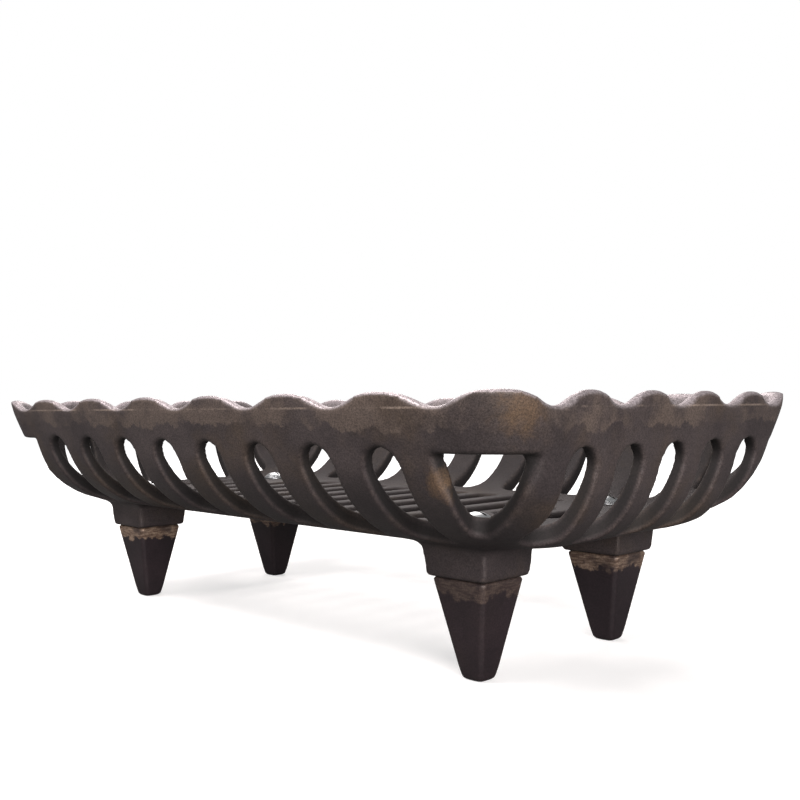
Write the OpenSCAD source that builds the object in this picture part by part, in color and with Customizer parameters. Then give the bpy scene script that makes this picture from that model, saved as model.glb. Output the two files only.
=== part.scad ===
// Cast-iron log grate: a flared, slotted basket with a scalloped rim, standing on four
// square tapered legs. One bolt draws each leg up against a boss under the basket.
// Origin: on the ground under the middle of the basket. +X runs along the basket.

/* [Rim] */
// Length of the basket outline at the foot of the scallops
rim_length = 560; // [540:1:600]
// Width of the basket outline at the foot of the scallops
rim_width = 334; // [320:1:360]
// Height of the foot of the scallops above the ground
rim_height = 164; // [156:1:174]
// Corner radius of the outline at the rim
rim_corner_r = 36; // [32:1:40]
// Depth of the fine step at the foot of the scallops
rim_step = 0.8; // [0.4:0.1:1.4]
// Height of the scallop valleys above the foot of the scallops
valley_rise = 0.5; // [0.2:0.1:1.5]
// Height of the scallop peaks above the foot of the scallops
peak_rise = 9.2; // [8:0.2:12]
// Radius in the valleys between the scallops
valley_r = 22; // [14:1:26]
// Width of one scallop on the long sides
side_scallop = 77; // [72:0.5:78]
// Number of scallops on a long side
side_scallops = 6; // [4:1:6]
// Width of one scallop on the ends
end_scallop = 63; // [58:0.5:64]
// Number of scallops on an end
end_scallops = 4; // [2:1:4]

/* [Basket wall] */
// Thickness of the wall
wall = 8; // [7:0.25:9]
// Outward flare of the upper wall on the long sides, in mm for each mm of height
flare = 0.31; // [0.25:0.01:0.36]
// Depth of the straight band under the scallops, down to the start of the belly's curve
band_depth = 28; // [22:1:32]
// Height of the underside of the basket above the ground
belly_height = 83; // [78:1:86]
// Reach of the end walls, as a share of the reach of the long walls
end_fullness = 0.62; // [0.56:0.01:0.7]
// Corner radius of the belly
belly_corner_r = 42; // [40:1:50]
// Thickness of the floor
floor_thickness = 12; // [10:0.5:13]

/* [Wall slots] */
// Width of a wall slot
slot_w = 28.2; // [22:0.2:30]
// Height of the slots' round tops above the ground
slot_top = 143; // [138:0.5:146]
// Distance from slot to slot along the long sides
side_slot_pitch = 53.2; // [48:0.2:54]
// Number of slots on a long side
side_slots = 8; // [4:1:8]
// How far the slots of the long sides run in from the rim, seen from above
side_slot_reach = 64; // [56:1:66]
// Distance from slot to slot along the ends
end_slot_pitch = 48; // [44:0.5:50]
// Number of slots on an end
end_slots = 5; // [3:1:5]
// How far the slots of the ends run in from the rim, seen from above
end_slot_reach = 43; // [38:1:46]

/* [Corner openings] */
// Height of the corner openings' flat tops above the ground
corner_top = 140.5; // [134:0.5:144]
// Distance of a corner opening's inner point from the end of the outline
corner_tip_x = 54.5; // [52:0.5:60]
// Distance of a corner opening's inner point from the long side of the outline
corner_tip_y = 45.5; // [43:0.5:51]
// Direction in which a corner opening faces, in degrees away from the basket's length
corner_aim = 50; // [46:0.5:54]
// Angle between the two side walls of a corner opening
corner_spread = 59; // [50:0.5:61]
// Radius in the two upper corners of a corner opening
corner_top_r = 4.5; // [3:0.5:10]
// Radius at the inner point of a corner opening
corner_tip_r = 6; // [5:0.5:9]
// Distance from the end of the outline to the point where the opening's bevels would meet
mouth_x = 52.5; // [51:0.5:55]
// Distance from the long side of the outline to the point where the bevels would meet
mouth_y = 16.5; // [15:0.5:18]
// Direction in which the bevelled mouth faces, in degrees away from the basket's length
mouth_aim = 46; // [42:0.5:50]
// Angle between the two bevels of the mouth
mouth_spread = 140; // [132:1:146]
// Outward lean of the bevels, in degrees
mouth_lean = 8; // [5:0.5:12]

/* [Floor openings] */
// Width of a floor opening
floor_slot_w = 17; // [14:0.5:18]
// Distance from opening to opening along the floor
floor_slot_pitch = 30.5; // [29:0.5:31]
// Number of full-length floor openings
floor_slots = 10; // [6:2:10]
// Length of a full-length floor opening
floor_slot_length = 166; // [140:1:170]
// Number of short openings between the legs at each end
short_slots = 2; // [1:1:2]
// Length of a short opening
short_slot_length = 58; // [40:1:70]

/* [Legs and bosses] */
// Distance between leg centres along the basket
leg_spacing_x = 369; // [366:0.5:372]
// Distance between leg centres across the basket
leg_spacing_y = 144; // [138:0.5:148]
// Width of a square boss under the basket, at its bottom
boss_w = 45.2; // [43.6:0.2:46.4]
// Draft of a boss's sides: how much wider it is on each side where its blend begins
boss_draft = 1.2; // [0.4:0.1:1.6]
// Rounding along the bottom edge of a boss
boss_edge_r = 2; // [1:0.1:2.4]
// Height of the bosses' undersides, where the legs begin, above the ground
leg_height = 62.4; // [54:0.2:68]
// Radius that blends a boss into the underside of the basket
boss_blend_r = 7; // [5:0.5:8]
// Width of a leg at its top
leg_top_w = 40.4; // [36:0.2:41]
// Width of a leg at the ground
leg_foot_w = 15.8; // [13:0.2:19]
// Chamfer round the top of a leg
leg_top_chamfer = 1.6; // [0.8:0.1:2]
// Rounding of a leg at the ground
leg_foot_r = 2.4; // [1:0.1:3]
// Chamfer along the four arrises of a leg
leg_arris = 1.4; // [0.8:0.1:2.5]
// Width of the square key on a leg that stops it turning
key_w = 18; // [16:0.5:22]
// Height of the key
key_h = 3; // [2:0.25:5]
// Clearance round the key in its recess
key_clearance = 0.4; // [0.2:0.05:0.8]

/* [Leg bolts] */
// Diameter of a bolt
bolt_d = 8; // [6:0.5:8.5]
// Length of a bolt under its head
bolt_length = 50; // [42:1:56]
// Diameter of the domed head
head_d = 18; // [15:0.5:19]
// Height of the domed head
head_h = 4.4; // [3:0.1:6]
// Width of the screwdriver slot
drive_slot_w = 1.8; // [1.2:0.1:2.5]
// Depth of the screwdriver slot
drive_slot_depth = 1.9; // [1:0.1:2.5]
// Clearance round a bolt in the basket, on the radius
basket_hole_clearance = 0.5; // [0.3:0.05:1]
// Clearance round a bolt in the leg, on the radius
leg_hole_clearance = 0.1; // [0.05:0.01:0.2]
// Space left below the end of the bolt in the leg
leg_hole_spare = 8; // [3:1:10]
// Diameter of a washer
washer_d = 20; // [19:0.5:21]
// Thickness of a washer
washer_h = 1.6; // [1:0.1:2.5]

/* [Hidden] */
$fn = 48;
reach_beyond = 20; // how far cutting shapes run past the casting
nudge = 0.02; // keeps faces that belong to two shapes from only just touching
corner_steps = 8; // facets in a quarter turn of the basket's outline
belly_steps = 9; // facets in the belly's curve from top to bottom

// The wall's section is a straight flare and then an arc that ends level with the underside.
half_length = rim_length / 2;
half_width = rim_width / 2;
flare_angle = atan(flare);
arc_start_z = rim_height - band_depth;
belly_r = (arc_start_z - belly_height) / (1 - sin(flare_angle));
arc_centre_z = belly_height + belly_r;
side_reach = flare * band_depth + belly_r * cos(flare_angle);
end_reach = end_fullness * side_reach;
floor_top = belly_height + floor_thickness;
// The inside curve touches the inner face of the flare and ends level with the floor.
inner_belly_r = (belly_r - wall - (arc_centre_z - floor_top) * sin(flare_angle)) / (1 - sin(flare_angle));
inner_flare_depth = rim_height - floor_top - inner_belly_r * (1 - sin(flare_angle));
inner_end_r = (end_reach - end_fullness * flare * inner_flare_depth - wall) / cos(flare_angle);

// Corner radius of the outline at height z: it opens up over the upper third of the wall.
function corner_r(z) =
    let (depth = (rim_height - z) / (rim_height - belly_height))
    rim_corner_r + (belly_corner_r - rim_corner_r) * max(0, min(1, 3 * depth));

function belly_angle(j) = flare_angle + (90 - flare_angle) * j / belly_steps;

// Levels of the outside and of the inside, from the underside up: half length, half width,
// corner radius and height.
function outer_level(t) =
    let (z = arc_centre_z - belly_r * sin(t), inset = side_reach - belly_r * cos(t))
    [half_length - end_fullness * inset, half_width - inset, corner_r(z), z];

function inner_level(t) = [
    half_length - end_reach + inner_end_r * cos(t),
    half_width - side_reach + inner_belly_r * cos(t),
    corner_r(arc_centre_z - belly_r * sin(t)) - wall * cos(t),
    floor_top + inner_belly_r * (1 - sin(t))
];

function level_above(level, rise) = [
    level[0] + end_fullness * flare * rise, level[1] + flare * rise, level[2], level[3] + rise
];

rim_level = [half_length, half_width, rim_corner_r, rim_height];
step_level = rim_level - [rim_step, rim_step, rim_step, 0];
outer_levels = concat(
    [for (j = [belly_steps:-1:0]) outer_level(belly_angle(j))],
    [rim_level, step_level, level_above(step_level, 2 * peak_rise)]
);
inner_flare_start = inner_level(flare_angle);
inner_levels = concat(
    [for (j = [belly_steps:-1:0]) inner_level(belly_angle(j))],
    [level_above(inner_flare_start, rim_height + 2 * peak_rise - inner_flare_start[3])]
);

// Distance from the middle to the side that faces towards phi, at one level.
function reach(level, phi) =
    (level[0] - level[2]) * cos(phi) + (level[1] - level[2]) * sin(phi) + level[2];

module flared_section(levels, phi) {
    edge = [for (l = levels) [reach(l, phi), l[3]]];
    polygon(concat(edge, [for (i = [len(edge) - 1:-1:0]) [-edge[i].x, edge[i].y]]));
}

// A flared body: what lies inside the upright sections for all the directions that it faces.
// The long sides have a true arc; the ends and the corners are made of flats.
module flared(levels, radius) {
    intersection_for (i = [1 - corner_steps:corner_steps])
        rotate([90, 0, 90 * i / corner_steps])
            linear_extrude(3 * rim_length, center = true)
                if (i == corner_steps) long_section(levels, radius);
                else flared_section(levels, abs(90 * i / corner_steps));
}

module long_section(levels, radius) {
    flared_section(levels, 90);
    for (side = [0, 1]) mirror([side, 0, 0])
        intersection() {
            translate([levels[0][1], levels[0][3] + radius]) circle(radius);
            translate([levels[0][1], levels[0][3]])
                square([radius, radius * (1 - sin(flare_angle))]);
        }
}

// The rim follows two wavy lines, one seen from the side and one seen from the end. The lines
// are round lobes with a fillet in every valley; at a corner both climb to the same crest.
rim_top = rim_height + peak_rise;
rim_valley = rim_height + valley_rise;
side_run = side_scallop * side_scallops / 2;
end_run = end_scallop * end_scallops / 2;
crest_angle = atan((half_length - side_run) / (half_width - end_run));
crest_x = half_length - rim_corner_r * (1 - cos(crest_angle));
crest_y = half_width - rim_corner_r * (1 - sin(crest_angle));

// Radius of a lobe that runs out into its fillets over this half width.
function lobe_r(half, top) =
    let (rise = top - rim_valley)
    (half * half + rise * rise) / (2 * rise) - valley_r;

module lobe(centre, top) {
    translate(centre) circle(top - centre.y);
}

module valley(x, left, right) {
    bottom = [x, rim_valley + valley_r];
    difference() {
        polygon([left, right, bottom]);
        translate(bottom) circle(valley_r);
    }
}

module rim_line(width, count, crest, lobe_top, crest_top, end_top) {
    run = width * count / 2;
    centres = [
        for (i = [0:count - 1])
            [(i + 0.5) * width - run, lobe_top - lobe_r(width / 2, lobe_top)]
    ];
    crest_centre = [crest, crest_top - lobe_r(crest - run, crest_top)];
    for (c = centres) lobe(c, lobe_top);
    for (i = [1:count - 1]) valley(i * width - run, centres[i - 1], centres[i]);
    for (side = [0, 1]) mirror([side, 0]) {
        valley(run, centres[count - 1], crest_centre);
        lobe(crest_centre, crest_top);
        translate([crest, 0]) square([2 * rim_corner_r, end_top]);
        square([crest, rim_height + valley_rise / 2]);
    }
}

module rim_lines() {
    intersection() {
        rotate([90, 0, 0]) linear_extrude(2 * rim_width, center = true)
            rim_line(side_scallop, side_scallops, crest_x, rim_top, rim_top, rim_top);
        rotate([90, 0, 90]) linear_extrude(2 * rim_length, center = true)
            rim_line(end_scallop, end_scallops, crest_y, rim_top - nudge, rim_top + nudge, 2 * rim_height);
    }
}

module basket_shell() {
    difference() {
        intersection() {
            flared(outer_levels, belly_r);
            rim_lines();
        }
        flared(inner_levels, inner_belly_r);
    }
}

// Runs its children at the four corners, by mirror images.
module four_ways() {
    for (mx = [0, 1]) mirror([mx, 0, 0])
        for (my = [0, 1]) mirror([0, my, 0])
            children();
}

// A slot that runs in along +Y from y = 0, round at its inner end and at its top.
module wall_slot(reach) {
    depth = reach + reach_beyond;
    intersection() {
        translate([0, -reach_beyond, belly_height - reach_beyond])
            linear_extrude(slot_top - belly_height + reach_beyond) {
                translate([-slot_w / 2, 0]) square([slot_w, depth - slot_w / 2]);
                translate([0, depth - slot_w / 2]) circle(d = slot_w);
            }
        translate([0, depth, 0]) rotate([90, 0, 0])
            linear_extrude(2 * depth) {
                translate([0, slot_top - slot_w / 2]) circle(d = slot_w);
                translate([-slot_w / 2, 0]) square([slot_w, slot_top - slot_w / 2]);
            }
    }
}

module wall_slots() {
    for (way = [0, 180]) rotate(way) {
        for (i = [0:side_slots - 1])
            translate([(i - (side_slots - 1) / 2) * side_slot_pitch, -half_width, 0])
                wall_slot(side_slot_reach);
        for (i = [0:end_slots - 1])
            translate([half_length, (i - (end_slots - 1) / 2) * end_slot_pitch, 0])
                rotate(90) wall_slot(end_slot_reach);
    }
}

// The opening in the right-hand front corner: a wedge with upright sides, which the
// belly's curve turns into a D. The round upper corners run along its side walls.
module corner_opening() {
    length = corner_tip_x + corner_tip_y;
    translate([half_length - corner_tip_x, -half_width + corner_tip_y, 0])
        rotate(-corner_aim)
            intersection() {
                linear_extrude(corner_top) corner_wedge(length);
                corner_side(length);
                mirror([0, 1, 0]) corner_side(length);
            }
    corner_mouth(length);
}

// Two leaning flats bevel the side walls towards the outside, up to the opening's flat top.
module corner_mouth(length) {
    far = length / 2;
    side = far * tan(mouth_spread / 2);
    intersection() {
        translate([half_length - mouth_x, -half_width + mouth_y, corner_top])
            rotate([0, 0, -mouth_aim])
                rotate([0, mouth_lean, 0])
                    linear_extrude(2 * corner_top, center = true)
                        polygon([[0, 0], [far, -side], [far, side]]);
        translate([0, -2 * half_width, belly_height])
            cube([2 * half_length, 2 * half_width, corner_top - belly_height]);
    }
}

// Seen from above, with its round inner point at the origin and opening towards +X.
module corner_wedge(length) {
    half = corner_spread / 2;
    centre = corner_tip_r;
    touch = [centre - corner_tip_r * sin(half), corner_tip_r * cos(half)];
    far = [length, touch.y + (length - touch.x) * tan(half)];
    translate([centre, 0]) circle(corner_tip_r);
    polygon([touch, far, [far.x, -far.y], [touch.x, -touch.y]]);
}

// What lies to one side of the opening's left-hand wall, under a round upper corner.
module corner_side(length) {
    across = 2 * length;
    edge = [corner_tip_r + nudge, corner_top + nudge];
    translate([corner_tip_r, 0, 0])
        rotate([90, 0, 90 + corner_spread / 2])
            linear_extrude(2 * across, center = true) {
                translate([edge.x - corner_top_r, edge.y - corner_top_r]) circle(corner_top_r);
                translate([edge.x - across, 0]) square([across, edge.y - corner_top_r]);
                translate([edge.x - across, 0]) square([across - corner_top_r, edge.y]);
            }
}

module floor_opening(length) {
    half = (length - floor_slot_w) / 2;
    for (end = [-1, 1]) translate([0, end * half]) circle(d = floor_slot_w);
    translate([-floor_slot_w / 2, -half]) square([floor_slot_w, 2 * half]);
}

module floor_openings() {
    translate([0, 0, belly_height - reach_beyond / 2])
        linear_extrude(floor_thickness + reach_beyond) {
            for (i = [0:floor_slots - 1])
                translate([(i - (floor_slots - 1) / 2) * floor_slot_pitch, 0])
                    floor_opening(floor_slot_length);
            for (side = [-1, 1]) for (i = [0:short_slots - 1])
                translate([side * (floor_slots / 2 + 0.5 + i) * floor_slot_pitch, 0])
                    floor_opening(short_slot_length);
        }
}

// Half of a boss's section: the rounded bottom edge, the draft of the side, and then a blend
// that spreads under the belly.
function boss_edge() =
    let (
        bottom = boss_w / 2,
        top = bottom + boss_draft,
        blend_z = belly_height + boss_top_lift - boss_blend_r
    )
    concat(
        [
            for (i = [0:4])
                let (t = 22.5 * i)
                [bottom - boss_edge_r * (1 - sin(t)), leg_height + boss_edge_r * (1 - cos(t))]
        ],
        [
            for (i = [0:6])
                let (t = 15 * i)
                [top + boss_blend_r * (1 - cos(t)), blend_z + boss_blend_r * sin(t)]
        ],
        [[top + boss_blend_r, belly_height + floor_thickness / 2]]
    );
boss_top_lift = 1.5; // the blend ends this much above the lowest line of the belly

module two_way(edge) {
    profile = concat(edge, [for (i = [len(edge) - 1:-1:0]) [-edge[i].x, edge[i].y]]);
    length = 4 * max([for (p = edge) p.x]);
    intersection_for (way = [0, 90])
        rotate([90, 0, way]) linear_extrude(length, center = true) polygon(profile);
}

module at_leg() {
    translate([leg_spacing_x / 2, -leg_spacing_y / 2, 0]) children();
}

module boss_hollows() {
    recess = key_w + 2 * key_clearance;
    translate([-recess / 2, -recess / 2, leg_height - reach_beyond])
        cube([recess, recess, reach_beyond + key_h + key_clearance]);
    cylinder(h = floor_top + reach_beyond, d = bolt_d + 2 * basket_hole_clearance);
    translate([0, 0, floor_top]) cylinder(h = reach_beyond, d = washer_d + 2 * basket_hole_clearance);
}

module basket() {
    color("#3b3837")
        difference() {
            union() {
                difference() {
                    basket_shell();
                    wall_slots();
                    four_ways() corner_opening();
                    floor_openings();
                }
                four_ways() at_leg() two_way(boss_edge());
            }
            four_ways() at_leg() boss_hollows();
        }
}

// Half of a leg's section, from the top chamfer down the taper to the rounded foot.
function leg_edge() =
    let (
        top = leg_top_w / 2,
        foot = leg_foot_w / 2,
        taper = (top - foot) / leg_height,
        start_z = leg_height - leg_top_chamfer
    )
    concat(
        [[top - leg_top_chamfer, leg_height], [top - taper * leg_top_chamfer, start_z]],
        [
            for (i = [0:5])
                let (t = 18 * i)
                [
                    foot + taper * leg_foot_r - leg_foot_r * (1 - cos(t)),
                    leg_foot_r * (1 - sin(t))
                ]
        ]
    );

module leg_solid() {
    arris_edge = [for (p = leg_edge()) [p.x * sqrt(2) - leg_arris, p.y]];
    intersection() {
        two_way(leg_edge());
        rotate(45) two_way(arris_edge);
    }
    translate([-key_w / 2, -key_w / 2, leg_height - leg_foot_w])
        cube([key_w, key_w, leg_foot_w + key_h]);
}

module leg() {
    bolt_end = floor_top + washer_h - bolt_length;
    color("#2b2627")
        at_leg() difference() {
            leg_solid();
            translate([0, 0, bolt_end - leg_hole_spare])
                cylinder(h = bolt_length + leg_hole_spare, d = bolt_d + 2 * leg_hole_clearance);
        }
}

// The domed head is a slice of a ball on a short straight edge.
module leg_bolt() {
    edge = 0.8;
    dome_h = head_h - edge;
    dome_r = (pow(head_d / 2, 2) + pow(dome_h, 2)) / (2 * dome_h);
    end_chamfer = 0.8;
    dome = [
        for (i = [0:12])
            let (x = head_d / 2 * (1 - i / 12))
            [x, edge + dome_h - dome_r + sqrt(dome_r * dome_r - x * x)]
    ];
    color("#c9c9c6")
        at_leg() translate([0, 0, floor_top + washer_h])
            difference() {
                rotate_extrude()
                    polygon(concat(
                        [
                            [0, -bolt_length],
                            [bolt_d / 2 - end_chamfer, -bolt_length],
                            [bolt_d / 2, -bolt_length + end_chamfer],
                            [bolt_d / 2, 0],
                            [head_d / 2, 0]
                        ],
                        dome
                    ));
                translate([-head_d, -drive_slot_w / 2, head_h - drive_slot_depth])
                    cube([2 * head_d, drive_slot_w, head_h]);
            }
}

module washer() {
    color("#b9b9b5")
        at_leg() translate([0, 0, floor_top]) rotate_extrude()
            translate([bolt_d / 2 + leg_hole_clearance, 0])
                square([(washer_d - bolt_d) / 2 - leg_hole_clearance, washer_h]);
}

// Moves a piece made for the right-hand front leg to its place, by mirror images.
module placed(x_side, y_side) {
    mirror([x_side < 0 ? 1 : 0, 0, 0])
        mirror([0, y_side > 0 ? 1 : 0, 0])
            children();
}

basket();
placed(-1, -1) leg();  // leg_front_left
placed(1, -1) leg();  // leg_front_right
placed(1, 1) leg();  // leg_back_right
placed(-1, 1) leg();  // leg_back_left
placed(-1, -1) leg_bolt();  // leg_bolt_front_left
placed(1, -1) leg_bolt();  // leg_bolt_front_right
placed(1, 1) leg_bolt();  // leg_bolt_back_right
placed(-1, 1) leg_bolt();  // leg_bolt_back_left
placed(-1, -1) washer();  // washer_front_left
placed(1, -1) washer();  // washer_front_right
placed(1, 1) washer();  // washer_back_right
placed(-1, 1) washer();  // washer_back_left
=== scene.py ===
"""Log grate: a sand-cast basket and four cast legs, each drawn up by a zinc-plated bolt.

The CAD frame gives every size and place. Here the castings get the soft edges and the grained
skin that sand moulding leaves, and the bolts get their domed heads and plated finish.
"""
import math

import bmesh
import bpy
import numpy as np
from mathutils import Matrix, Vector
from mathutils.bvhtree import BVHTree


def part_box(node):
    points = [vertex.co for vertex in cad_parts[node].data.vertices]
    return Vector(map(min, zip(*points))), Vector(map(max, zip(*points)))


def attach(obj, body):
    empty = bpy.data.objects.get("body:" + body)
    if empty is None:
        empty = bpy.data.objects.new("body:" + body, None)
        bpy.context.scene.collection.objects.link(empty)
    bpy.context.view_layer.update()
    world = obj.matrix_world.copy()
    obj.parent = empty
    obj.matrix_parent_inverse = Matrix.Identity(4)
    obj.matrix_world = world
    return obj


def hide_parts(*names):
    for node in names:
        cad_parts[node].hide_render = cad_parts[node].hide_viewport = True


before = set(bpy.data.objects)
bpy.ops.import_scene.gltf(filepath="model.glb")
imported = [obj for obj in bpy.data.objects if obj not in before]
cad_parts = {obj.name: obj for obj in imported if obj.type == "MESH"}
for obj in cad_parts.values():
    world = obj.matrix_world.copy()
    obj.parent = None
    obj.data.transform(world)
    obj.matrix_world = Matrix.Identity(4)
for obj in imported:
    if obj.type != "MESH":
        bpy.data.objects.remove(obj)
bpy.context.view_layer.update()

MM = 0.001
LEGS = ["front_left", "front_right", "back_right", "back_left"]

# Heights and places in the frame.
RIM_Z = 164 * MM  # foot of the scallops
UNDERSIDE_Z = 84 * MM  # just over the basket's underside, from which the bosses stand down
KEY_H = 3 * MM  # the key on a leg, which stands up into its boss
LEG_TOP_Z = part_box("leg_front_left")[1].z - KEY_H  # seat of the legs
RIM_CORNER = (0.258, 0.147, RIM_Z)  # one corner of the rim; the others mirror it

# Sizes of the fixings that their boxes don't tell.
SHANK_R = 4 * MM
DRIVE_SLOT_W = 1.8 * MM
DRIVE_SLOT_DEPTH = 1.9 * MM
WASHER_BORE_R = 4.1 * MM

SHARP_ANGLE = math.radians(32)  # edges of the fixings that bend by more stay sharp
SAME_POINT = 0.002 * MM  # points of a CAD mesh that lie nearer than this are one
TURN_STEPS = 64  # sides of a turned body

# Base colours, set so that the lit render has the tones of the photograph.
BASKET_IRON = ("#322C2D", "#3E3737", "#43382F")  # dark, light and warm clouds
LEG_IRON = ("#1D161A", "#261D21", "#271E20")
BASKET_EDGES = "#5C514A"
LEG_EDGES = "#453D3C"
# painted shade for the hollows
HOLLOW_SHADE = "#17130F"
PALE_BAND = "#5A4F48"
# painted highlight along the foot of the scallops
LEDGE_HIGHLIGHT = "#83766C"
OCHRE = "#6C553C"
# bare iron on the tops, made pale as a painted highlight
BARE_TOPS_AND_HIGHLIGHT = "#979093"
FILED_DARK = "#6F5B4E"
FILED_LIGHT = "#A8927F"
ZINC = "#C9CCCE"
DULL_ZINC = "#B3B7B9"
# painted shade for the screwdriver slot
SLOT_SHADE = "#2A2523"
WHITE = "#FFFFFF"
FLOOR_SEEN = "#CBCBCB"
FLOOR_UNSEEN = "#6E6E6E"

# How bright each leg has been filed under its seat, from 0 to 1.
FILED = {"front_left": 1.0, "front_right": 0.12, "back_right": 0.6, "back_left": 0.6}
# Ochre stains on the basket: the middle of each in mm, and how far it spreads.
STAINS = [
    ((276, -150, 162), 15), ((226, -156, 122), 11), ((-266, -160, 159), 11),
    ((-252, 166, 152), 13), ((-276, 84, 158), 9), ((96, 167, 160), 10)]
# The corner nearest the camera is darkened with painted shade and keeps less of the pale band:
# the middle in mm, and how far it spreads.
SHADED_CORNER = ((262, -152, 160), 45)


# ---------------------------------------------------------------- colour and nodes

# A Map Range node takes a value, the two ends of its range and the two that they become, which
# are 0 and 1 where they are left out. This setting eases it at both ends.
SMOOTH = {"interpolation_type": "SMOOTHSTEP"}


def srgb(text):
    """An sRGB hex colour as linear red, green, blue, alpha."""
    parts = [int(text[i:i + 2], 16) / 255 for i in (1, 3, 5)]
    return [p / 12.92 if p <= 0.04045 else ((p + 0.055) / 1.055) ** 2.4 for p in parts] + [1.0]


def add(tree, kind, inputs=(), **settings):
    """Adds a node with its settings, and fills its inputs: a list goes in the order in which the
    node shows them, a dictionary by their names. A node among them gives its first output."""
    node = tree.nodes.new("ShaderNode" + kind)
    for name, value in settings.items():
        setattr(node, name, value)
    sockets = [socket for socket in node.inputs if socket.enabled]
    if isinstance(inputs, dict):
        named = {socket.name: socket for socket in sockets}
        sockets = [named[name] for name in inputs]
        inputs = inputs.values()
    for socket, value in zip(sockets, inputs):
        if isinstance(value, bpy.types.Node):
            value = next(output for output in value.outputs if output.enabled)
        if isinstance(value, bpy.types.NodeSocket):
            tree.links.new(value, socket)
        else:
            socket.default_value = value
    return node


def new_material(name):
    """A material with an empty node tree, and that tree."""
    material = bpy.data.materials.new(name)
    material.use_nodes = True
    tree = material.node_tree
    tree.nodes.clear()
    return material, tree


def height(tree):
    """Height over the ground, in metres."""
    place = add(tree, "TexCoord").outputs["Object"]
    return add(tree, "SeparateXYZ", [place]).outputs["Z"]


def mottle(tree, size_mm, detail, roughness, limits, values=(0.0, 1.0)):
    """Soft blotches about size_mm across, fixed to the object. Their noise seldom leaves the
    range from 0.3 to 0.7. It is stretched so that its two limits become the two values."""
    noise = add(tree, "TexNoise", {
        "Vector": add(tree, "TexCoord").outputs["Object"], "Scale": 1 / (size_mm * MM),
        "Detail": detail, "Roughness": roughness})
    return add(tree, "MapRange", [noise, *limits, *values], **SMOOTH)


def spot(tree, centre_mm, radius_mm):
    """A ragged, soft patch about a point: 1 inside and 0 outside."""
    radius = radius_mm * MM
    centre = [c * MM for c in centre_mm]
    place = add(tree, "TexCoord").outputs["Object"]
    away = add(tree, "VectorMath", [place, centre], operation="DISTANCE")
    ragged = mottle(tree, 7, 5.0, 0.7, (0.3, 0.7), (-0.3 * radius, 0.3 * radius))
    away = add(tree, "Math", [away, ragged], operation="ADD")
    return add(tree, "MapRange", [away, 0.15 * radius, 1.3 * radius, 1.0, 0.0], **SMOOTH)


def off_corners(tree):
    """0 at the four corners of the rim and 1 along its sides."""
    place = add(tree, "TexCoord").outputs["Object"]
    folded = add(tree, "VectorMath", [place], operation="ABSOLUTE")
    away = add(tree, "VectorMath", [folded, RIM_CORNER], operation="DISTANCE")
    return add(tree, "MapRange", [away, 30 * MM, 55 * MM], **SMOOTH)


# ---------------------------------------------------------------- what iron looks like

def iron_colour(tree, dark, light, warm):
    """Foundry skin: two close greys in soft clouds some 40 mm wide, and a warmer stain here and
    there."""
    clouds = mottle(tree, 40, 3.0, 0.55, (0.35, 0.68))
    stains = mottle(tree, 70, 4.0, 0.6, (0.48, 0.7), (0.0, 0.8))
    grey = add(tree, "Mix", [clouds, srgb(dark), srgb(light)], data_type="RGBA")
    return add(tree, "Mix", [stains, grey, srgb(warm)], data_type="RGBA")


def grained(tree, colour, specks):
    """Adds the grain of the sand: paler and darker specks about 1 mm across."""
    grain = mottle(tree, 1.0, 3.0, 0.8, (0.34, 0.66), (1 - specks, 1 + 1.2 * specks))
    return add(tree, "VectorMath", [colour, grain], operation="SCALE")


def edge_wear_and_hollow_shade(tree, colour, rubbed, most):
    """Lightens the rounded outer edges a little, in places, where they are worn, and darkens the
    hollows with painted shade.
    """
    bend = add(tree, "Attribute", attribute_name="bend").outputs["Fac"]
    outer = add(tree, "MapRange", [bend, 0.07, 0.22], **SMOOTH)
    places = mottle(tree, 5, 4.0, 0.7, (0.4, 0.62), (0.0, most))
    wear = add(tree, "Math", [outer, places], operation="MULTIPLY")
    colour = add(tree, "Mix", [wear, colour, srgb(rubbed)], data_type="RGBA")
    # painted shade in the hollows
    hollow = add(tree, "MapRange", [bend, -0.16, -0.03, 0.5, 0.0], **SMOOTH)
    return add(tree, "Mix", [hollow, colour, srgb(HOLLOW_SHADE)], data_type="RGBA")


def cast_relief(tree, grit_strength):
    """The grit of the sand, 1.2 mm across, on shallow waves 14 mm across."""
    place = add(tree, "TexCoord").outputs["Object"]
    sand = add(tree, "TexNoise", {
        "Vector": place, "Scale": 1 / (1.2 * MM), "Detail": 3.0, "Roughness": 0.75})
    grit = add(tree, "Bump", {"Strength": grit_strength, "Distance": 0.35 * MM, "Height": sand})
    waves = add(tree, "TexNoise", {"Vector": place, "Scale": 1 / (14 * MM), "Detail": 2.0})
    return add(tree, "Bump", {
        "Strength": 0.3, "Distance": 1.2 * MM, "Height": waves, "Normal": grit})


def finish_material(tree, colour, rough, metallic, normal):
    """Links the surface to the material's output."""
    surface = add(tree, "BsdfPrincipled", {
        "Base Color": colour, "Roughness": rough, "Metallic": metallic, "Normal": normal})
    add(tree, "OutputMaterial", {"Surface": surface})


# ---------------------------------------------------------------- materials

def painted_shade(tree, colour, depth, up):
    """Paints shade into the colour: darker in the sides of the openings, on the underside and, a
    little less, on the inside. depth is in mm under the outside of the shell, and up runs from -1
    to 1."""
    openings = add(tree, "MapRange", [depth, 0.6, 3.6, 1.0, 0.22], **SMOOTH)
    inside = add(tree, "MapRange", [depth, 6.5, 9.0, 0.0, 0.26], **SMOOTH)
    shell = add(tree, "Math", [openings, inside], operation="ADD")
    underside = add(tree, "MapRange", [up, -0.9, -0.25, 0.56, 1.0], **SMOOTH)
    colour = add(tree, "VectorMath", [colour, shell], operation="SCALE")
    return add(tree, "VectorMath", [colour, underside], operation="SCALE")


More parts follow.
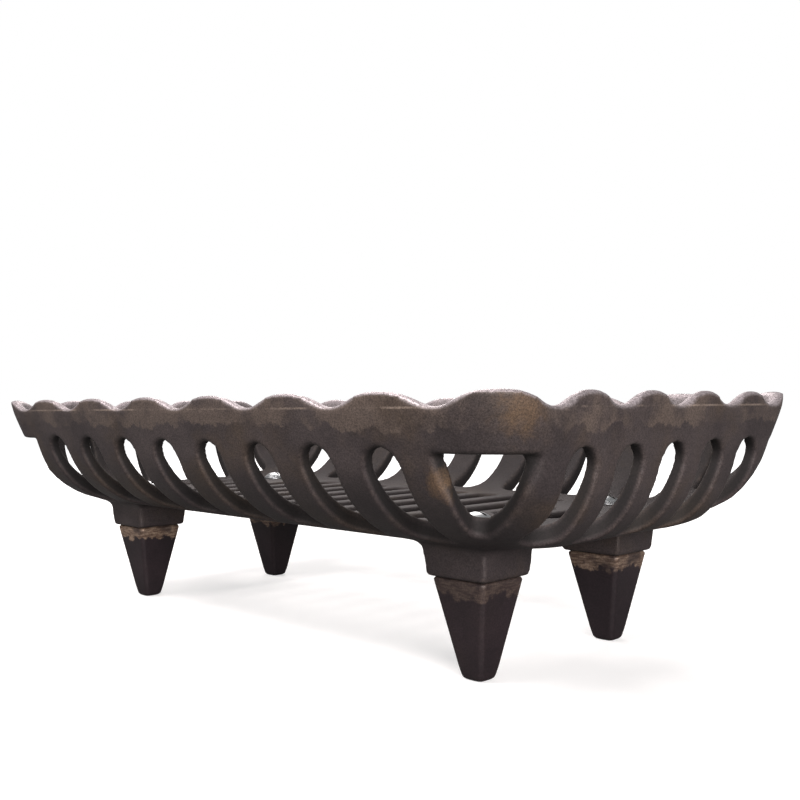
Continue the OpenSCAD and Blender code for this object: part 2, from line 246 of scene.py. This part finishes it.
def pale_band(tree, z, blacker):
    """The ragged band under the scallops, some 10 mm deep, where the black has rubbed off."""
    ragged = mottle(tree, 14, 5.0, 0.6, (0.25, 0.75), (-4.5 * MM, 4.5 * MM))
    z = add(tree, "Math", [z, ragged], operation="ADD")
    band = add(tree, "MapRange", [z, RIM_Z - 11.5 * MM, RIM_Z - 9.5 * MM], **SMOOTH)
    kept = mottle(tree, 45, 4.0, 0.65, (0.4, 0.58), (0.1, 0.7))
    band = add(tree, "Math", [band, kept], operation="MULTIPLY")
    # the near corner, darkened with painted shade, keeps less of the band
    elsewhere = add(tree, "Math", [1.0, blacker], operation="SUBTRACT")
    return add(tree, "Math", [band, elsewhere], operation="MULTIPLY")


def painted_ledge_highlight(tree, z):
    """A painted highlight: the thin, broken light line at the foot of the scallops, along the
    sides only, where a small ledge would catch the light.
    """
    over = add(tree, "Math", [z, RIM_Z + 0.2 * MM], operation="SUBTRACT")
    away = add(tree, "Math", [over], operation="ABSOLUTE")
    line = add(tree, "MapRange", [away, 0.3 * MM, 0.8 * MM, 1.0, 0.0], **SMOOTH)
    broken = mottle(tree, 30, 3.0, 0.5, (0.42, 0.6), (0.05, 0.6))
    line = add(tree, "Math", [line, broken], operation="MULTIPLY")
    return add(tree, "Math", [line, off_corners(tree)], operation="MULTIPLY")


def worn_tops_and_highlight(tree, z, up):
    """The tops of the scallops, rubbed to bare, smoother iron with a mottled edge. Where they
    face up, their pale colour is also a painted highlight.
    """
    tops = add(tree, "MapRange", [z, RIM_Z - 2.5 * MM, RIM_Z + 1.5 * MM], **SMOOTH)
    upward = add(tree, "MapRange", [up, 0.0, 0.6], **SMOOTH)
    tops = add(tree, "Math", [tops, upward], operation="MULTIPLY")
    mottled = mottle(tree, 2.2, 4.0, 0.7, (0.34, 0.56), (0.45, 1.0))
    return add(tree, "Math", [tops, mottled], operation="MULTIPLY")


def basket_skin():
    """Grey iron cast in green sand and left matte, with a paler band under the scallops, worn
    tops, and a few ochre stains near the corners. Painted light: a fine highlight line at the
    foot of the scallops, a highlight on the tops, and shade in the openings, hollows, underside
    and near corner."""
    material, tree = new_material("sand_cast_grey_iron")
    depth = add(tree, "Attribute", attribute_name="depth").outputs["Fac"]
    up = add(tree, "Attribute", attribute_name="up").outputs["Fac"]
    z = height(tree)
    # painted shade in the openings, on the inside and on the underside
    colour = painted_shade(tree, iron_colour(tree, *BASKET_IRON), depth, up)
    colour = edge_wear_and_hollow_shade(tree, colour, rubbed=BASKET_EDGES, most=0.22)
    most = 0.6  # of the pale band is held back there
    blacker = add(tree, "Math", [spot(tree, *SHADED_CORNER), most], operation="MULTIPLY")
    band = pale_band(tree, z, blacker)
    colour = add(tree, "Mix", [band, colour, srgb(PALE_BAND)], data_type="RGBA")
    # painted highlight along the foot of the scallops
    line = painted_ledge_highlight(tree, z)
    colour = add(tree, "Mix", [line, colour, srgb(LEDGE_HIGHLIGHT)], data_type="RGBA")
    for centre, radius in STAINS:
        stain = add(tree, "Math", [spot(tree, centre, radius), 0.55], operation="MULTIPLY")
        colour = add(tree, "Mix", [stain, colour, srgb(OCHRE)], data_type="RGBA")
    # painted shade on the corner nearest the camera
    darker = add(tree, "MapRange", [blacker, 0.0, most, 1.0, 0.76], **SMOOTH)
    colour = add(tree, "VectorMath", [colour, darker], operation="SCALE")
    worn = worn_tops_and_highlight(tree, z, up)
    # bare tops, painted pale as a highlight where they face up
    colour = add(tree, "Mix", [worn, colour, srgb(BARE_TOPS_AND_HIGHLIGHT)], data_type="RGBA")
    colour = grained(tree, colour, specks=0.36)
    matte = add(tree, "MapRange", [depth, 1.0, 4.0, 0.56, 0.8], **SMOOTH)
    smoother = add(tree, "Math", [worn, 0.1], operation="MULTIPLY")
    rough = add(tree, "Math", [matte, smoother], operation="SUBTRACT")
    metallic = add(tree, "MapRange", [worn, 0.0, 1.0, 0.2, 0.6], **SMOOTH)
    finish_material(tree, colour, rough, metallic, cast_relief(tree, grit_strength=0.55))
    return material


def leg_skin():
    """The same iron, blacker. Just under its seat each leg has been filed back to the metal:
    fine slanting strokes in pale brown, with a ragged lower edge."""
    material, tree = new_material("sand_cast_grey_iron_filed_at_seat")
    colour = edge_wear_and_hollow_shade(tree, iron_colour(tree, *LEG_IRON), rubbed=LEG_EDGES, most=0.12)
    ragged = mottle(tree, 9, 3.0, 0.5, (0.25, 0.75), (-4 * MM, 4 * MM))
    z = add(tree, "Math", [height(tree), ragged], operation="ADD")
    band = add(tree, "MapRange", [z, LEG_TOP_Z - 11 * MM, LEG_TOP_Z - 8.5 * MM], **SMOOTH)
    kept = mottle(tree, 26, 2.0, 0.5, (0.38, 0.5), (0.25, 1.0))
    band = add(tree, "Math", [band, kept], operation="MULTIPLY")
    bright = add(tree, "Attribute", attribute_name="filed").outputs["Fac"]
    filed = add(tree, "Math", [band, bright], operation="MULTIPLY")
    slant = add(tree, "Mapping", {
        "Vector": add(tree, "TexCoord").outputs["Object"],
        "Rotation": (0.5, 0.5, 0.0), "Scale": (0.22, 0.22, 1.0)})
    strokes = add(tree, "TexNoise", {"Vector": slant, "Scale": 1 / (1.3 * MM), "Detail": 3.0})
    tone = add(tree, "MapRange", [strokes, 0.35, 0.65], **SMOOTH)
    metal = add(tree, "Mix", [tone, srgb(FILED_DARK), srgb(FILED_LIGHT)], data_type="RGBA")
    colour = add(tree, "Mix", [filed, colour, metal], data_type="RGBA")
    colour = grained(tree, colour, specks=0.3)
    rough = add(tree, "MapRange", [filed, 0.0, 1.0, 0.55, 0.42], **SMOOTH)
    metallic = add(tree, "MapRange", [filed, 0.0, 1.0, 0.2, 0.6], **SMOOTH)
    scratches = add(tree, "Math", [strokes, filed], operation="MULTIPLY")
    normal = add(tree, "Bump", {
        "Strength": 0.5, "Distance": 0.3 * MM, "Height": scratches,
        "Normal": cast_relief(tree, grit_strength=0.25)})
    finish_material(tree, colour, rough, metallic, normal)
    return material


def zinc_plate():
    """Mild steel with bright zinc plate: a pale, slightly blue metal with a faint bloom, and
    painted shade darkening the screwdriver slot."""
    material, tree = new_material("bright_zinc_plated_steel")
    bloom = mottle(tree, 4, 3.0, 0.5, (0.3, 0.7))
    zinc = add(tree, "Mix", [bloom, srgb(ZINC), srgb(DULL_ZINC)], data_type="RGBA")
    sunk = add(tree, "Attribute", attribute_name="sunk").outputs["Fac"]
    # painted shade in the screwdriver slot
    colour = add(tree, "Mix", [sunk, zinc, srgb(SLOT_SHADE)], data_type="RGBA")
    rough = mottle(tree, 1.2, 2.0, 0.5, (0.3, 0.7), (0.3, 0.42))
    ripple = add(tree, "TexNoise", {
        "Vector": add(tree, "TexCoord").outputs["Object"], "Scale": 1 / (0.9 * MM)})
    normal = add(tree, "Bump", {"Strength": 0.08, "Distance": 0.1 * MM, "Height": ripple})
    finish_material(tree, colour, rough, 1.0, normal)
    return material


# ---------------------------------------------------------------- meshes

def linked(name, data):
    """A new object in the scene."""
    thing = bpy.data.objects.new(name, data)
    bpy.context.scene.collection.objects.link(thing)
    return thing


def as_mesh(work, name):
    """A bmesh turned into a mesh."""
    mesh = bpy.data.meshes.new(name)
    work.to_mesh(mesh)
    work.free()
    return mesh


def store(mesh, name, values, domain="POINT"):
    """Stores a number on each point or face, for the materials."""
    mesh.attributes.new(name, "FLOAT", domain).data.foreach_set("value", values)


def shade_smooth(mesh):
    mesh.polygons.foreach_set("use_smooth", [True] * len(mesh.polygons))


def finish_piece(mesh, name, node, material):
    """Links a finished mesh as the piece that stands for a CAD node."""
    mesh.materials.clear()
    mesh.materials.append(material)
    piece = linked(name, mesh)
    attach(piece, "root")
    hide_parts(node)


def applied(piece):
    """The piece's mesh with its modifiers applied; the piece itself is taken away."""
    evaluated = piece.evaluated_get(bpy.context.evaluated_depsgraph_get())
    mesh = bpy.data.meshes.new_from_object(evaluated)
    bpy.data.objects.remove(piece)
    return mesh


def merged_copy(node):
    """A copy of a CAD node's mesh, with its loose triangles joined up."""
    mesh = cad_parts[node].data.copy()
    work = bmesh.new()
    work.from_mesh(mesh)
    bmesh.ops.remove_doubles(work, verts=work.verts, dist=SAME_POINT)
    work.to_mesh(mesh)
    work.free()
    return linked(node + "_working", mesh)


def points_and_edges(mesh):
    """Each point's place, and each edge as a pair of points, once in either direction."""
    place = np.empty(3 * len(mesh.vertices))
    mesh.vertices.foreach_get("co", place)
    pairs = np.empty(2 * len(mesh.edges), dtype=np.int64)
    mesh.edges.foreach_get("vertices", pairs)
    pairs = pairs.reshape(-1, 2)
    return place.reshape(-1, 3), np.concatenate([pairs, pairs[:, ::-1]])


def mean_at_points(both, values, count):
    """For each of count points, the mean of the values of the edges that leave it."""
    met = np.maximum(np.bincount(both[:, 0], minlength=count), 1)
    return np.bincount(both[:, 0], values, minlength=count) / met


def mark_skin(mesh):
    """Stores two numbers on each point. bend is how sharply the skin bends, per mm: above 0 on a
    rounded outer edge, below 0 in a hollow and 0 on a flat. up is 1 where the skin faces straight
    up and -1 where it faces straight down."""
    count = len(mesh.vertices)
    place, both = points_and_edges(mesh)
    place = place / MM
    normal = np.empty(3 * count)
    mesh.vertices.foreach_get("normal", normal)
    normal = normal.reshape(-1, 3)
    step = place[both[:, 1]] - place[both[:, 0]]
    drop = -2 * np.einsum("ij,ij->i", step, normal[both[:, 0]])
    bend = mean_at_points(both, drop / np.maximum((step ** 2).sum(1), 0.01), count)
    for _ in range(3):
        bend = 0.4 * bend + 0.6 * mean_at_points(both, bend[both[:, 1]], count)
    store(mesh, "bend", bend)
    store(mesh, "up", normal[:, 2])


def mark_depth(mesh):
    """Stores on each point of the basket how deep it lies under the outside of its shell, in mm,
    so that painted shade can darken the sides of the openings and the inside, and they can be
    rougher."""
    hull = bmesh.new()
    for point in mesh.vertices:
        if point.co.z > UNDERSIDE_Z and point.index % 3 == 0:  # every third point is enough
            hull.verts.new(point.co)
    made = bmesh.ops.convex_hull(hull, input=hull.verts)
    left_over = made["geom_interior"] + made["geom_unused"]
    inner = {item for item in left_over if isinstance(item, bmesh.types.BMVert)}
    bmesh.ops.delete(hull, geom=list(inner), context="VERTS")
    shell = BVHTree.FromBMesh(hull)
    hull.free()
    store(mesh, "depth", [
        shell.find_nearest(point.co)[3] / MM if point.co.z > UNDERSIDE_Z else 0.0
        for point in mesh.vertices])


def round_over(mesh, start, full, rounds):
    """Rounds one end of a casting well over: not at all at the height start, and with all its
    rounds from the height full on. That end then goes back to the height it had."""
    count = len(mesh.vertices)
    place, both = points_and_edges(mesh)
    share = np.clip((place[:, 2] - start) / (full - start), 0, 1)
    weight = share * share * (3 - 2 * share)
    both = both[weight[both[:, 0]] > 0]
    end = np.max if full > start else np.min
    kept = end(place[:, 2])
    for _ in range(rounds):
        for axis in range(3):
            mean = mean_at_points(both, place[both[:, 1], axis], count)
            place[:, axis] += 0.5 * weight * (mean - place[:, axis])
    place[:, 2] += weight * (kept - end(place[:, 2]))
    mesh.vertices.foreach_set("co", place.ravel())


def soft_casting(node, grid, rounds, most_triangles, start, full, end_rounds):
    """The casting with the rounded edges of a sand mould. grid is the spacing of its points,
    rounds the smoothing all over, and end_rounds the smoothing added from start to full."""
    piece = merged_copy(node)
    remesh = piece.modifiers.new("even_points", "REMESH")
    remesh.mode = "VOXEL"
    remesh.voxel_size = grid
    smooth = piece.modifiers.new("soft_edges", "SMOOTH")
    smooth.factor = 0.5
    smooth.iterations = rounds
    mesh = applied(piece)
    round_over(mesh, start, full, end_rounds)
    piece = linked(node + "_working", mesh)
    triangles = 2 * len(mesh.polygons)
    if triangles > most_triangles:
        thin = piece.modifiers.new("fewer_points", "DECIMATE")
        thin.ratio = most_triangles / triangles
    mesh = applied(piece)
    shade_smooth(mesh)
    mark_skin(mesh)
    return mesh


def turned(profile, centre):
    """A body turned about an upright axis through centre, from (radius, height) points."""
    work = bmesh.new()
    points = [work.verts.new((r, 0, z)) for r, z in profile]
    edges = [work.edges.new(pair) for pair in zip(points, points[1:])]
    bmesh.ops.spin(
        work, geom=points + edges, cent=(0, 0, 0), axis=(0, 0, 1), angle=2 * math.pi,
        steps=TURN_STEPS, use_merge=True, use_duplicate=False)
    bmesh.ops.remove_doubles(work, verts=work.verts, dist=0.01 * MM)
    bmesh.ops.recalc_face_normals(work, faces=work.faces)
    bmesh.ops.translate(work, verts=work.verts, vec=centre)
    return work


def upright_centre(low, high):
    """The upright axis of a turned node, as a point on the ground."""
    return Vector(((low.x + high.x) / 2, (low.y + high.y) / 2, 0))


# ---------------------------------------------------------------- fixings

def slot_cutter(centre, top, length):
    """A box that cuts the screwdriver slot down from top."""
    work = bmesh.new()
    bmesh.ops.create_cube(work, size=1.0)
    bmesh.ops.scale(
        work, verts=work.verts, vec=(length, DRIVE_SLOT_W, 2 * DRIVE_SLOT_DEPTH))
    bmesh.ops.translate(work, verts=work.verts, vec=(centre.x, centre.y, top))
    return linked("slot_cutter", as_mesh(work, "slot_cutter"))


def leg_bolt(place, material):
    """A domed bolt with a screwdriver slot across its head."""
    node = "leg_bolt_" + place
    low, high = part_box(node)
    centre = upright_centre(low, high)
    head_r = (high.x - low.x) / 2
    head_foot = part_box("washer_" + place)[1].z
    rim_top = head_foot + 0.8 * MM  # the head's upright rim
    tip_bevel = 0.8 * MM
    foot_bevel = 0.25 * MM
    dome_h = high.z - rim_top
    dome_r = (head_r ** 2 + dome_h ** 2) / (2 * dome_h)
    dome_steps = 14
    profile = [
        (0, low.z), (SHANK_R - tip_bevel, low.z), (SHANK_R, low.z + tip_bevel),
        (SHANK_R, head_foot), (head_r - foot_bevel, head_foot),
        (head_r, head_foot + foot_bevel), (head_r, rim_top)]
    for i in range(1, dome_steps + 1):
        r = head_r * (1 - i / dome_steps)
        profile.append((r, high.z - dome_r + math.sqrt(dome_r ** 2 - r ** 2)))
    cutter = slot_cutter(centre, high.z, 4 * head_r)
    piece = linked(node + "_working", as_mesh(turned(profile, centre), node))
    cut = piece.modifiers.new("slot", "BOOLEAN")
    cut.operation = "DIFFERENCE"
    cut.solver = "EXACT"
    cut.object = cutter
    mesh = applied(piece)
    bpy.data.objects.remove(cutter)
    # The faces of the slot, which get painted shade, lie over the rim and inside the dome.
    middle = Vector((centre.x, centre.y, high.z - dome_r))
    store(mesh, "sunk", [
        float(face.center.z > rim_top and (face.center - middle).length < dome_r - 0.2 * MM)
        for face in mesh.polygons], "FACE")
    shade_smooth(mesh)
    mesh.set_sharp_from_angle(angle=SHARP_ANGLE)
    finish_piece(mesh, "bolt_" + place, node, material)


def washer(place, material):
    """A stamped washer: a flat ring with rolled edges."""
    node = "washer_" + place
    low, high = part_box(node)
    outer = (high.x - low.x) / 2
    roll = 0.3 * MM
    ring = [
        (WASHER_BORE_R, low.z), (outer - roll, low.z), (outer, low.z + roll),
        (outer, high.z - roll), (outer - roll, high.z), (WASHER_BORE_R, high.z),
        (WASHER_BORE_R, low.z)]
    mesh = as_mesh(turned(ring, upright_centre(low, high)), node)
    shade_smooth(mesh)
    mesh.set_sharp_from_angle(angle=SHARP_ANGLE)
    finish_piece(mesh, "ring_" + place, node, material)


# ---------------------------------------------------------------- floor, light and camera

def seen_directly(tree):
    """1 where the camera sees a thing itself, also through glass, and 0 for its light."""
    ray = add(tree, "LightPath").outputs
    return add(
        tree, "Math", [ray["Is Camera Ray"], ray["Is Transmission Ray"]], operation="MAXIMUM")


def white_floor():
    """A pale floor that shows white to the camera, whiter further out, and keeps a soft shadow of
    the grate. The light that it throws back is dimmer. From below it is clear."""
    material, tree = new_material("pale_studio_floor")
    pale = add(tree, "BsdfDiffuse", {"Color": srgb(FLOOR_SEEN)})
    dim = add(tree, "BsdfDiffuse", {"Color": srgb(FLOOR_UNSEEN)})
    place = add(tree, "TexCoord").outputs["Object"]
    out = add(tree, "VectorMath", [place], operation="LENGTH")
    whiter = add(tree, "MapRange", [out, 0.4, 1.7, 0.5, 0.88], **SMOOTH)
    glow = add(tree, "Emission", {"Color": srgb(WHITE), "Strength": whiter})
    lit = add(tree, "AddShader", [pale, glow])
    above = add(tree, "MixShader", [seen_directly(tree), dim, lit])
    below = add(tree, "BsdfTransparent")
    under = add(tree, "NewGeometry").outputs["Backfacing"]
    surface = add(tree, "MixShader", [under, above, below])
    add(tree, "OutputMaterial", {"Surface": surface})
    work = bmesh.new()
    bmesh.ops.create_grid(work, x_segments=1, y_segments=1, size=30.0)
    mesh = as_mesh(work, "floor")
    mesh.materials.append(material)
    floor = linked("floor", mesh)


def white_world():
    """The world lights the grate softly and shows white to the camera."""
    world = bpy.data.worlds.new("studio")
    bpy.context.scene.world = world
    world.use_nodes = True
    tree = world.node_tree
    tree.nodes.clear()
    strength = add(tree, "MapRange", [seen_directly(tree), 0.0, 1.0, 0.26, 1.0], **SMOOTH)
    background = add(tree, "Background", {"Color": srgb(WHITE), "Strength": strength})
    add(tree, "OutputWorld", {"Surface": background})


def soft_lamp(name, place, target, size, power):
    """A round, slightly warm lamp, size across in metres."""
    lamp = bpy.data.lights.new(name, "AREA")
    lamp.shape = "DISK"
    lamp.size = size
    lamp.energy = power
    lamp.color = (1.0, 0.93, 0.91)
    stand = linked(name, lamp)
    stand.location = place
    aim = Vector(target) - Vector(place)
    stand.rotation_euler = aim.to_track_quat("-Z", "Y").to_euler()


def photo_camera():
    """The photograph's view, from the near corner and level with the foot of the scallops."""
    eye = Vector((549.3, -528.0, 164.4)) * MM
    forward = Vector((-0.73577, 0.67723, 0.0))
    right = Vector((0.677208, 0.735744, -0.008354))
    up = Vector((0.005658, 0.006147, 0.999965))
    focal_px = 956.0
    centre_px = Vector((330.0, 407.8))
    frame_px = 800.0
    camera = bpy.data.cameras.new("camera")
    camera.sensor_width = 36.0
    camera.lens = focal_px / frame_px * camera.sensor_width
    camera.shift_x = 0.5 - centre_px.x / frame_px
    camera.shift_y = centre_px.y / frame_px - 0.5
    camera.clip_start = 0.01
    camera.clip_end = 100.0
    holder = linked("camera", camera)
    turn = Matrix((right, up, -forward)).transposed().to_4x4()
    holder.matrix_world = Matrix.Translation(eye) @ turn
    bpy.context.scene.camera = holder


# ---------------------------------------------------------------- build

def build_basket():
    mesh = soft_casting(
        "basket", grid=1.4 * MM, rounds=10, most_triangles=190000,
        start=RIM_Z - 10 * MM, full=RIM_Z - 2 * MM, end_rounds=16)
    mark_depth(mesh)
    finish_piece(mesh, "basket_casting", "basket", basket_skin())


def build_legs():
    iron = leg_skin()
    zinc = zinc_plate()
    for place in LEGS:
        mesh = soft_casting(
            "leg_" + place, grid=0.8 * MM, rounds=6, most_triangles=30000,
            start=9 * MM, full=3 * MM, end_rounds=20)
        store(mesh, "filed", [FILED[place]] * len(mesh.vertices))
        finish_piece(mesh, "leg_casting_" + place, "leg_" + place, iron)
        leg_bolt(place, zinc)
        washer(place, zinc)


build_basket()
build_legs()
white_floor()
white_world()
soft_lamp("key", place=(-0.4, -1.2, 1.9), target=(0, 0, 0.1), size=1.2, power=60)
soft_lamp("fill", place=(1.95, -1.25, 0.75), target=(0, 0, 0.08), size=1.5, power=86)
soft_lamp("back", place=(-1.3, 1.2, 1.5), target=(0, 0, 0.14), size=1.4, power=35)
photo_camera()
bpy.context.scene.view_settings.view_transform = "Standard"
